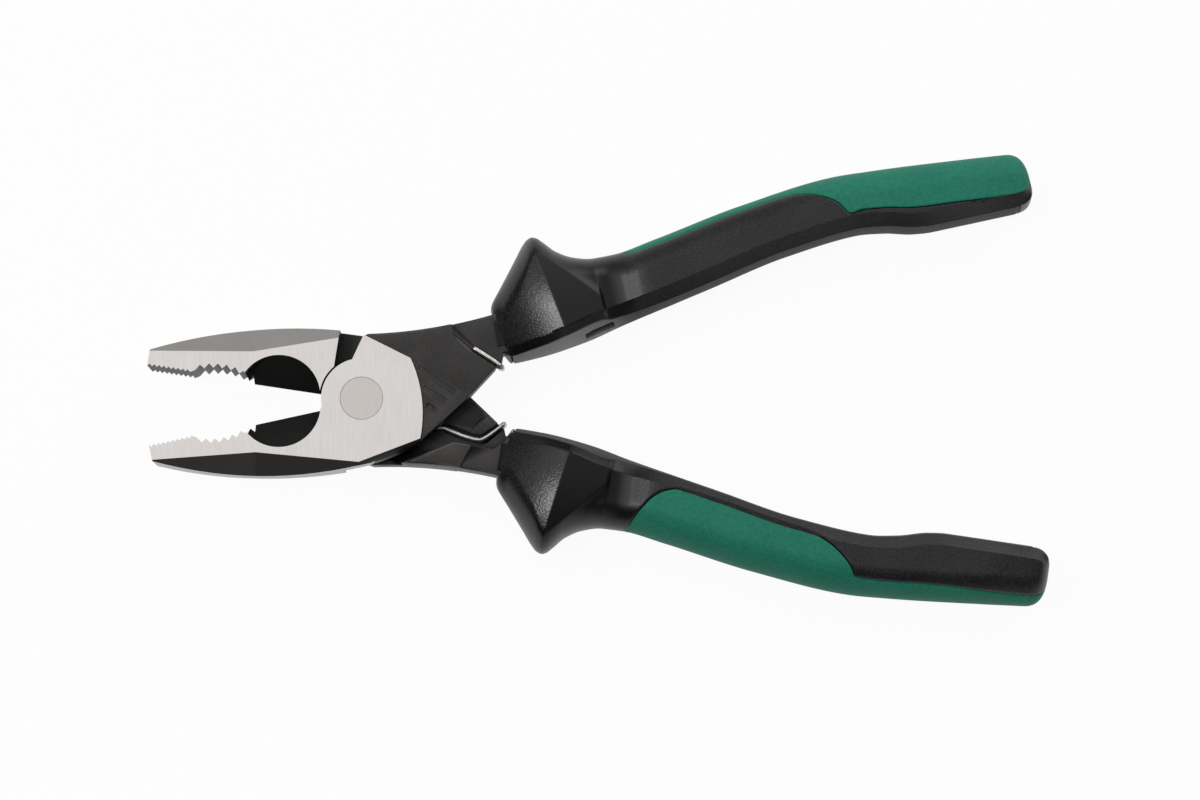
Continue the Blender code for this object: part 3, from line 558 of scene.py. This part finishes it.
STRIP_HALF = (
    (32.0, 3.6),
    (34.0, 4.0),
    (37.0, 5.2),
    (42.0, 7.2),
    (47.0, 8.6),
    (54.8, 7.5),
    (57.5, 6.0),
    (70.0, 5.6),
)
FOOT_MARGIN = 0.1
STRIP_ENDS = (33.8, 150.0)
STRIP_DEPTH = 2.2
STRIP_EDGE = 0.3
STRIP_RISE = 0.04
STRIP_COLUMNS = 61
STRIP_FINE_END_X = 60.0
SLOT = (50.8, 57.2)
SLOT_Z = 3.4
SLOT_HALF = 1.2
SLOT_DEPTH = 1.0
SLOT_EDGE = 0.1
# The first tone is the black plastic; the second is painted light, a grey laid on the upper guard's strip.
CORE_BLACK_AND_PAINTED_GREY = ((0.006, 0.006, 0.0065, 1.0), (0.115, 0.115, 0.118, 1.0))
PAINTED_LIGHT_RUN = (54.0, 63.0)
PAINTED_LIGHT_BY_HALF = {"upper": 1.0, "lower": 0.0}
CORE_CLOUDS = 90.0
CORE_ROUGHNESS = 0.60
PAINTED_LIGHT_POLISH = 0.28
CORE_DULL_SPOTS = 700.0
DULL_SPOT = 0.12
CORE_GRAIN = 3000.0
CORE_BUMP = 0.008 * MM
ROW_NUDGE = 0.01
AROUND_NUDGE = 0.0005
LEAST_WIDTH = 0.001
LEAST_NORMAL = 1e-12


def smooth(share):
    """0 up to a share of 0, 1 from a share of 1 and an even S-curve between them."""
    share = np.clip(share, 0.0, 1.0)
    return share * share * (3 - 2 * share)


def line_through(points):
    """A smooth curve y(x) through points, never overshooting: monotone cubic, level beyond its ends."""
    xs, ys = np.array(points, float).T
    step = np.diff(xs)
    slope = np.diff(ys) / step
    near = 2 * step[1:] + step[:-1]
    far = step[1:] + 2 * step[:-1]
    same_way = slope[:-1] * slope[1:] > 0
    before = np.where(same_way, slope[:-1], 1.0)
    after = np.where(same_way, slope[1:], 1.0)
    inner = np.where(same_way, (near + far) / (near / before + far / after), 0.0)
    tangent = np.concatenate((slope[:1], inner, slope[-1:]))

    def curve(x):
        """The cubic on the stretch where x lies, from the levels and tangents at its ends."""
        i = np.clip(np.searchsorted(xs, x) - 1, 0, len(step) - 1)
        t = np.clip((x - xs[i]) / step[i], 0.0, 1.0)
        level = ys[i] * (1 + 2 * t) * (1 - t) ** 2 + ys[i + 1] * t * t * (3 - 2 * t)
        return level + step[i] * (tangent[i] * t * (1 - t) ** 2 - tangent[i + 1] * t * t * (1 - t))

    return curve


outer_line = line_through(OUTER_EDGE)
inner_line = line_through(INNER_EDGE)
handle_half = line_through(HANDLE_HALF)
side_half = line_through(SIDE_HALF)
side_round = line_through(SIDE_ROUND)
side_power = line_through(SIDE_POWER)
chamfer_reach = line_through(CHAMFER_REACH)
outer_round = line_through(OUTER_ROUND)
strip_half = line_through(STRIP_HALF)


def closing(x):
    """What the ends leave of the width: the lip's inset at the start, the dome's share at the end."""
    inset = LIP * (1 - np.sqrt(1 - (1 - np.clip((x - START_X) / LIP, 0.0, 1.0)) ** 2))
    over = np.clip((x - END_X + DOME) / DOME, 0.0, 1.0)
    return inset, (1 - over**DOME_POWER) ** (1 / DOME_POWER)


def edges(x):
    """The grip's inner and outer edge at its mid-plane."""
    inset, dome = closing(x)
    middle = (inner_line(x) + outer_line(x)) / 2
    low = middle + (inner_line(x) - middle) * dome + inset
    high = middle + (outer_line(x) - middle) * dome - inset
    return low, high


def half_height(x, y):
    """The grip's half thickness before its edges are rounded.

    On the guard two hardly curved facets fall away from a leaning ridge, a hollow flank drops off them
    towards the thumb and a step ends them at the neck; from there it swells into the handle.
    """
    off = x - RIDGE[0] - RIDGE_LEAN * (RIDGE[1] - y)
    jaw_side = -JAW_SIDE_FALL * off + JAW_SIDE_CURVE * off**2
    crown = CROWN * np.maximum(y - CROWN_Y, 0.0) ** 2
    facets = GUARD_HALF - np.where(off < 0, jaw_side, HAND_SIDE_FALL * off) - crown
    beyond = np.maximum(FLANK_AWAY[0] * (x - FLANK[0]) + FLANK_AWAY[1] * (y - FLANK[1]), 0.0)
    stays = np.exp(-beyond / FLANK_SPAN) * (1 - smooth((x - STEP_X) / STEP_RUN))
    inset, dome = closing(x)
    return (handle_half(x) + (facets - NECK_HALF) * stays) * dome - inset


def rounded(depth, reach, power):
    """Share of the full height at a depth inside an edge: a superellipse over the reach of its rounding."""
    return (1 - np.clip(1 - depth / reach, 0.0, 1.0) ** power) ** (1 / power)


def on_row(row, inside):
    """Place x, y at a share of the grip's width, and the two edges there.

    Rows lean with the guard's ridge, so that it stays a crisp line: x moves by the lean times the distance
    from the ridge's outer end, and is found in a few rounds.
    """
    lean = RIDGE_LEAN * np.clip(1 - np.abs(row - RIDGE[0]) / RIDGE_SPAN, 0.0, 1.0)
    x = row + 0.0 * inside
    for _ in range(LEAN_ROUNDS):
        low, high = edges(x)
        y = low + inside * (high - low)
        x = row + lean * (RIDGE[1] - y)
    return x, y, low, high


def strip_depth(x, margin=0.0):
    """How far inside the inner edge the steep side reaches the strip's half height and a margin."""
    low, high = edges(x)
    share = np.minimum((strip_half(x) + margin) / side_half(x), 1.0)
    reach = np.minimum(side_round(x), 0.5 * (high - low))
    return reach * (1 - (1 - share ** side_power(x)) ** (1 / side_power(x)))


def place_around(row, depth):
    """Place around the grip that lies so far inside its inner edge; depth is a function of x."""
    x, _, low, high = on_row(row, 0.0)
    return np.arccos(1 - 2 * np.minimum(depth(x) / np.maximum(high - low, LEAST_WIDTH), 0.5)) / pi


def grip_skin(row, around):
    """Point of a grip's skin at a row along it and a place around it, in millimetres.

    Around is 0 on the inner edge, 1 on the outer edge by way of the front face, and -1 by way of the rear
    face.  The inner side is a steep rounded wall as far as the strip's edge, and from there a straight
    chamfer up to the face; the outer side is an elliptic rounding.
    """
    x, y, low, high = on_row(row, 0.5 * (1 - np.cos(pi * around)))
    half_wide = 0.5 * (high - low) + LEAST_WIDTH
    tall = half_height(x, y)
    foot_depth = strip_depth(x, FOOT_MARGIN)
    foot = np.minimum(tall, strip_half(x) + FOOT_MARGIN)
    climbed = np.clip((y - low - foot_depth) / (chamfer_reach(x) - foot_depth), 0.0, 1.0)
    face = foot + (tall - foot) * climbed
    wall = side_half(x) * rounded(y - low, np.minimum(side_round(x), half_wide), side_power(x))
    side = np.where(y - low < foot_depth, wall, np.inf)
    fall = rounded(high - y, np.minimum(outer_round(x), half_wide), 2.0)
    return np.stack((x, y, np.sign(np.sin(pi * around)) * np.minimum(side, face) * fall), axis=-1)


def sunk(row, around, depth):
    """Point that lies so deep under the grip's skin, square to it."""
    along = grip_skin(np.minimum(row + ROW_NUDGE, END_X), around) - grip_skin(row - ROW_NUDGE, around)
    across = grip_skin(row, around + AROUND_NUDGE) - grip_skin(row, around - AROUND_NUDGE)
    normal = np.cross(along, across)
    size = np.linalg.norm(normal, axis=-1, keepdims=True)
    normal = np.where(size > LEAST_NORMAL, normal / np.maximum(size, LEAST_NORMAL), 0.0)
    return grip_skin(row, around) - depth[..., None] * normal


def rows_between(*runs):
    """Rows along the grip: each run is (start, end, step), and the next run starts where it ends."""
    return np.concatenate([np.linspace(a, b, round((b - a) / step), endpoint=False) for a, b, step in runs])


hard_plastic, shader, start = finish("hard_black_plastic_with_painted_light")
clouds = start.noise(CORE_CLOUDS)
pale = start.attribute("pale")
dull = start.noise(CORE_DULL_SPOTS, 2.0)
# Painted light: grey mixed into the black plastic on the upper guard's strip, which is also made a little
# less rough.
feed(shader, "Base Color", (pale * clouds.between(0.3, 0.7).rising(0.75, 0.25)).mix(*CORE_BLACK_AND_PAINTED_GREY))
feed(shader, "Roughness", CORE_ROUGHNESS - pale * PAINTED_LIGHT_POLISH + dull * DULL_SPOT)
feed(shader, "Normal", start.noise(CORE_GRAIN, 2.0).bump(CORE_BUMP))

row = rows_between((STRIP_ENDS[0], STRIP_FINE_END_X, 0.2), (STRIP_FINE_END_X, STRIP_ENDS[1], 0.8))
row = np.append(row, STRIP_ENDS[1])[:, None]
edge = place_around(row, strip_depth)
across = edge * np.linspace(-1.0, 1.0, STRIP_COLUMNS)[None, :]
x, _, z = np.moveaxis(grip_skin(row, across), -1, 0)
edge_fall = np.clip(STRIP_EDGE - strip_half(x) + np.abs(z), 0.0, STRIP_EDGE)
end_fall = np.clip(STRIP_EDGE - np.minimum(row - STRIP_ENDS[0], STRIP_ENDS[1] - row), 0.0, STRIP_EDGE)
rolled = np.sqrt(STRIP_EDGE**2 - edge_fall**2) + np.sqrt(STRIP_EDGE**2 - end_fall**2)
depth = 2 * STRIP_EDGE - rolled - STRIP_RISE
slot_share = smooth((SLOT_HALF + SLOT_EDGE - np.abs(z - SLOT_Z)) / (2 * SLOT_EDGE))
slot_share = slot_share * smooth((x - SLOT[0] + SLOT_EDGE) / (2 * SLOT_EDGE))
slot_share = slot_share * smooth((SLOT[1] + SLOT_EDGE - x) / (2 * SLOT_EDGE))
depth = depth + SLOT_DEPTH * slot_share
around = np.hstack((-edge, across, edge))
wall = np.full_like(edge, STRIP_DEPTH)
depth = np.hstack((wall, depth, wall))
strip = sunk(row, around, depth) * MM
# Share of painted light: full on the upper guard's strip, fading out along the neck, and none on the lower
# grip.
pale = smooth((PAINTED_LIGHT_RUN[1] - row) / (PAINTED_LIGHT_RUN[1] - PAINTED_LIGHT_RUN[0]))
for half in ("upper", "lower"):
    core = skin(f"{half}_core_strip", placed(strip, half), hard_plastic, pale=pale * PAINTED_LIGHT_BY_HALF[half])
    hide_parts(f"{half}_grip_core")
    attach(core, BODY[half])


# Grip sleeves: black soft plastic, moulded over the cores, with the finger guard in one piece.
# The faces have a fine moulded grain; the guard's rear facet, the neck and the side bands are smooth.
FRONT_SEAM = (
    (62.2, 1.0),
    (62.7, 0.965),
    (65.0, 0.900),
    (80.0, 0.882),
    (97.0, 0.878),
    (101.0, 0.855),
    (105.0, 0.770),
    (108.5, 0.630),
    (111.0, 0.470),
    (112.6, 0.290),
    (113.4, 0.280),
    (116.0, 0.310),
    (130.0, 0.300),
    (150.0, 0.220),
    (155.6, 0.210),
)
REAR_SEAM = (
    (61.0, 1.0),
    (61.4, 0.965),
    (63.6, 0.684),
    (65.7, 0.467),
    (68.6, 0.295),
    (71.4, 0.216),
    (86.1, 0.184),
    (98.0, 0.188),
    (102.0, 0.225),
    (105.5, 0.310),
    (108.5, 0.450),
    (110.6, 0.600),
    (111.9, 0.745),
    (112.8, 0.755),
    (130.0, 0.800),
    (150.0, 0.860),
    (155.6, 0.860),
)
LIP_REACH = (0.50, 0.24, 0.08, 0.0, 0.0)
LIP_SINK = (0.0, 0.03, 0.14, 0.40, 1.20)
SEAM_GAP = 0.06
GROOVE_MARGIN = 0.08
GROOVE_DEPTH = 0.9
SEAM_GROWTH = 1.5
SEAM_NUDGE = 0.05
SEAM_END = 2.0
CHAMFER_COLUMNS = 10
FACE_COLUMNS = 60
FLOOR_PLACES = np.linspace(-0.97, 0.97, 9)
DOME_ROWS = 22
NECK_SOCKET = (7.4, 4.2, 4.4)
SOCKET_POWER = 8
SOCKET_SIZES = (0.0, 1.0, 1.0, 1.03)
SOCKET_FLOOR_X = 36.0
SOCKET_PLACES = (SOCKET_FLOOR_X, SOCKET_FLOOR_X, START_X + 0.25, START_X)
GUARD_END_X = 58.0
FACET_GRAIN_EDGE = 0.3
HANDLE_GRAIN_X = 60.5
HANDLE_GRAIN_RUN = 3.0
FACE_POWER = 4
SLEEVE_TONES = ((0.003, 0.003, 0.0032, 1.0), (0.024, 0.024, 0.0244, 1.0))
SLEEVE_SHINE = 0.36
SLEEVE_PORES = 2300.0
SLEEVE_CLOUDS = 75.0
SLEEVE_ROUGHNESS = (0.34, 0.06)
FACET_POLISH = 0.15
SMOOTH_PORES = 0.05
SLEEVE_BUMP = 0.042 * MM
front_seam = line_through(FRONT_SEAM)
rear_seam = line_through(REAR_SEAM)


def seam_lip(row, seam, first, side):
    """Columns over a seam's rolled lip: places around the grip, and how deep each lies under the skin.

    The lip is drawn in shares of the grip's width, widened where the seam runs aslant; side is -1 on the
    sleeve and 1 on the inlay.  It grows from nothing where the seam starts.
    """
    low, high = edges(np.minimum(row, END_X - SEAM_END))
    slope = (seam(row + SEAM_NUDGE) - seam(row - SEAM_NUDGE)) / (2 * SEAM_NUDGE) * (high - low)
    grown = smooth((row - first) / SEAM_GROWTH) * closing(row)[1]
    reach = (np.array(LIP_REACH) + SEAM_GAP)[None, :] * np.sqrt(1 + slope**2) * grown
    share = np.clip(seam(row) + side * reach / (high - low), 0.0, 1.0)
    return np.arccos(1 - 2 * share) / pi, np.array(LIP_SINK)[None, :] * grown


def spread(first, last, count):
    """Columns spaced evenly from one place around the grip to another, without the first and the last."""
    return first + (last - first) * np.linspace(0.0, 1.0, count + 2)[None, 1:-1]


row = rows_between(
    (START_X, START_X + 0.8, 0.08),
    (START_X + 0.8, RIDGE[0], 0.25),
    (RIDGE[0], STEP_X - 0.2, 0.25),
    (STEP_X - 0.2, 56.5, 0.09),
    (56.5, 66.0, 0.3),
    (66.0, 100.0, 0.8),
    (100.0, 116.0, 0.4),
    (116.0, END_X - DOME, 0.8),
)
over_dome = np.sin(np.linspace(0.0, pi / 2, DOME_ROWS))
row = np.append(row, END_X - DOME + DOME * over_dome)[:, None]
grip_rows = row
front, front_sink = seam_lip(row, front_seam, FRONT_SEAM[0][0], -1)
rear, rear_sink = seam_lip(row, rear_seam, REAR_SEAM[0][0], -1)
edge = place_around(row, lambda x: strip_depth(x, GROOVE_MARGIN))
grooved = GROOVE_DEPTH * ((row > STRIP_ENDS[0]) & (row < STRIP_ENDS[1]))
floor = edge * FLOOR_PLACES[None, :]
corner = place_around(row, chamfer_reach)
chamfer = np.hstack((edge, spread(edge, corner, CHAMFER_COLUMNS), corner))
rear_face = np.hstack((spread(-rear[:, :1], -corner, FACE_COLUMNS), -chamfer[:, ::-1]))
front_face = np.hstack((chamfer, spread(corner, front[:, :1], FACE_COLUMNS)))
around = np.hstack((-rear[:, ::-1], rear_face, floor, front_face, front))
level = np.zeros_like(front_face)
depth = np.hstack((rear_sink[:, ::-1], level, grooved + 0.0 * floor, level, front_sink))
outside = sunk(row, around, depth)

middle, wide, tall = NECK_SOCKET
angle = np.arctan2(outside[0, :, 2], outside[0, :, 1] - middle)
reach = np.abs(np.cos(angle) / wide) ** SOCKET_POWER + np.abs(np.sin(angle) / tall) ** SOCKET_POWER
reach = reach ** (-1 / SOCKET_POWER)
ring = np.stack((0.0 * angle, reach * np.cos(angle), reach * np.sin(angle)), axis=-1)
scale = np.array(SOCKET_SIZES)[:, None, None]
place = np.array(SOCKET_PLACES)[:, None, None]
socket = ring * scale + place * (1.0, 0.0, 0.0) + np.array((0.0, middle, 0.0))
sleeve_points = np.concatenate((socket, outside))

x, y, z = np.moveaxis(outside, -1, 0)
low, high = edges(x)
on_face = 1 - np.abs(np.sin(np.arctan2(y - (low + high) / 2, np.abs(z)))) ** FACE_POWER
off_ridge = x - RIDGE[0] - RIDGE_LEAN * (RIDGE[1] - y)
facet_grain = smooth((FACET_GRAIN_EDGE - off_ridge) / (2 * FACET_GRAIN_EDGE))
handle_grain = smooth((x - HANDLE_GRAIN_X) / HANDLE_GRAIN_RUN)
on_guard = x < GUARD_END_X
grain = np.where(on_guard, facet_grain, handle_grain) * on_face
inside = np.zeros((len(socket), grain.shape[1]))
shares = {
    "grain": np.concatenate((inside, grain)),
    "polish": np.concatenate((inside, grain * on_guard)),
}

soft_black, shader, start = finish("soft_black_moulding", Specular_IOR_Level=SLEEVE_SHINE)
pores = start.noise(SLEEVE_PORES, 2.0)
clouds = start.noise(SLEEVE_CLOUDS)
grain_share = start.attribute("grain")
tone = (pores * grain_share * 0.9 + clouds * 0.3).between(0.35, 0.9)
feed(shader, "Base Color", tone.mix(*SLEEVE_TONES))
feed(shader, "Roughness", clouds.rising(*SLEEVE_ROUGHNESS) - start.attribute("polish") * FACET_POLISH)
feed(shader, "Normal", (pores * (SMOOTH_PORES + grain_share)).bump(SLEEVE_BUMP))
for half in ("upper", "lower"):
    sleeve = skin(f"{half}_sleeve_moulding", placed(sleeve_points * MM, half), soft_black, **shares)
    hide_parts(f"{half}_grip_sleeve")
    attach(sleeve, BODY[half])


# Grip inlays: green softer plastic, moulded last, over the outer side of each handle.
# It sweeps across the front of one face and the rear of the other, so the two grips look alike turned over.
INLAY_COLUMNS = 110
INLAY_TONES = ((0.010, 0.162, 0.103, 1.0), (0.020, 0.214, 0.139, 1.0))
INLAY_SHINE = 0.2
INLAY_PORES = 1500.0
INLAY_CLOUDS = 60.0
INLAY_ROUGHNESS = (0.54, 0.16)
INLAY_BUMP = 0.10 * MM

row = grip_rows[grip_rows[:, 0] >= REAR_SEAM[0][0] - SEAM_NUDGE]
front, front_sink = seam_lip(row, front_seam, FRONT_SEAM[0][0], 1)
rear, rear_sink = seam_lip(row, rear_seam, REAR_SEAM[0][0], 1)
over = spread(front[:, :1], 2.0 - rear[:, :1], INLAY_COLUMNS)
around = np.hstack((front[:, ::-1], over, 2.0 - rear))
depth = np.hstack((front_sink[:, ::-1], np.zeros_like(over), rear_sink))
inlay_points = sunk(row, around, depth) * MM

soft_green, shader, start = finish("soft_green_moulding", Specular_IOR_Level=INLAY_SHINE)
pores = start.noise(INLAY_PORES, 2.0)
clouds = start.noise(INLAY_CLOUDS)
feed(shader, "Base Color", (pores * 0.7 + clouds * 0.3).between(0.3, 0.7).mix(*INLAY_TONES))
feed(shader, "Roughness", pores.rising(*INLAY_ROUGHNESS))
feed(shader, "Normal", pores.bump(INLAY_BUMP))
for half in ("upper", "lower"):
    inlay = skin(f"{half}_inlay_moulding", placed(inlay_points, half), soft_green)
    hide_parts(f"{half}_grip_inlay")
    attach(inlay, BODY[half])


# Stage: a white table top in a dark room, under a large soft box, a small bright one on the jaws' side and
# a low fill; the camera stands over the tool.  Soft boxes are size, place and power in watts; the room's
# lights are direction, the span of cosines over which each comes up, and strength.
WHITE = (1.0, 1.0, 1.0, 1.0)
FLOOR_SIZE = 40.0
FLOOR_TONE = (0.85, 0.85, 0.85, 1.0)
FLOOR_ROUGHNESS = 0.9
FLOOR_SHOWN = 0.95
SOFT_BOXES = {
    "large_soft_box": ((0.86, 1.30), (-0.37, 0.28, 1.05), 3.0),
    "key_soft_box": ((0.34, 0.34), (-0.74, -0.03, 1.21), 5.6),
    "fill_soft_box": ((0.90, 0.90), (0.70, 0.95, 0.60), 5.5),
}
ROOM_DARK = 0.03
ROOM_LIGHTS = (
    ((-0.30, 0.20, 0.93), (0.40, 1.00), 0.12),
    ((0.35, 0.93, 0.10), (-0.30, 0.80), 0.42),
    ((0.45, -0.89, 0.08), (0.76, 0.97), 0.55),
)
SENSOR_WIDTH = 36.0
CAMERA_DISTANCE = 0.9
CAMERA_TILT = radians(6.5)
CAMERA_ROLL = radians(1.912)
PHOTO_SIZE = (1200, 800)
PIXEL = 0.2192 * MM
RIVET_PIXEL = (362.9, 401.1)

shape = bmesh.new()
bmesh.ops.create_grid(shape, x_segments=1, y_segments=1, size=FLOOR_SIZE / 2)
mesh = bpy.data.meshes.new("table_top")
shape.to_mesh(mesh)
shape.free()
floor = bpy.data.objects.new("table_top", mesh)
bpy.context.scene.collection.objects.link(floor)
white, shader, start = finish("white_table_top", Base_Color=FLOOR_TONE, Roughness=FLOOR_ROUGHNESS)
seen = start.node("LightPath", output="Is Camera Ray")
for ray in ("Is Glossy Ray", "Is Transmission Ray"):
    seen = start.math("MAXIMUM", seen, start.node("LightPath", output=ray))
glow = start.node("Emission", inputs={"Color": WHITE, "Strength": 1.0})
surface = Socket(start.tree, shader.outputs[0])
mixed = start.node("MixShader", inputs={0: seen * FLOOR_SHOWN, 1: surface, 2: glow})
start.tree.links.new(mixed.output, start.tree.nodes["Material Output"].inputs["Surface"])
mesh.materials.append(white)

world = bpy.data.worlds.new("studio")
bpy.context.scene.world = world
world.use_nodes = True
start = Socket(world.node_tree)
towards = start.node("TexCoord", output="Generated")
room = ROOM_DARK
for direction, span, strength in ROOM_LIGHTS:
    ends = {0: towards, 1: direction}
    facing = start.node("VectorMath", {"operation": "DOT_PRODUCT"}, ends, output="Value")
    room = facing.between(*span) * strength + room
background = world.node_tree.nodes["Background"]
background.inputs["Color"].default_value = WHITE
feed(background, "Strength", room)

for name, (size, place, power) in SOFT_BOXES.items():
    lamp = bpy.data.lights.new(name, "AREA")
    lamp.shape = "RECTANGLE"
    lamp.size, lamp.size_y = size
    lamp.energy = power
    soft_box = bpy.data.objects.new(name, lamp)
    facing = Vector(place).to_track_quat("Z", "Y").to_matrix().to_4x4()
    soft_box.matrix_world = Matrix.Translation(place) @ facing
    bpy.context.scene.collection.objects.link(soft_box)

right = Vector((cos(CAMERA_ROLL), -sin(CAMERA_ROLL), 0.0))
level_up = Vector((sin(CAMERA_ROLL), cos(CAMERA_ROLL), 0.0))
view = Vector((0.0, 0.0, cos(CAMERA_TILT))) - level_up * sin(CAMERA_TILT)
upward = view.cross(right)
aim = Vector(RIVET) + right * (PHOTO_SIZE[0] / 2 - RIVET_PIXEL[0]) * PIXEL
aim += level_up * (RIVET_PIXEL[1] - PHOTO_SIZE[1] / 2) * PIXEL / cos(CAMERA_TILT)
lens = bpy.data.cameras.new("camera")
lens.sensor_width = SENSOR_WIDTH
lens.lens = SENSOR_WIDTH * CAMERA_DISTANCE / (PHOTO_SIZE[0] * PIXEL)
camera = bpy.data.objects.new("camera", lens)
stand = Matrix((right, upward, view)).transposed().to_4x4()
camera.matrix_world = Matrix.Translation(aim + view * CAMERA_DISTANCE) @ stand
bpy.context.scene.collection.objects.link(camera)
bpy.context.scene.camera = camera
bpy.context.scene.view_settings.view_transform = "Standard"

bpy.context.view_layer.update()
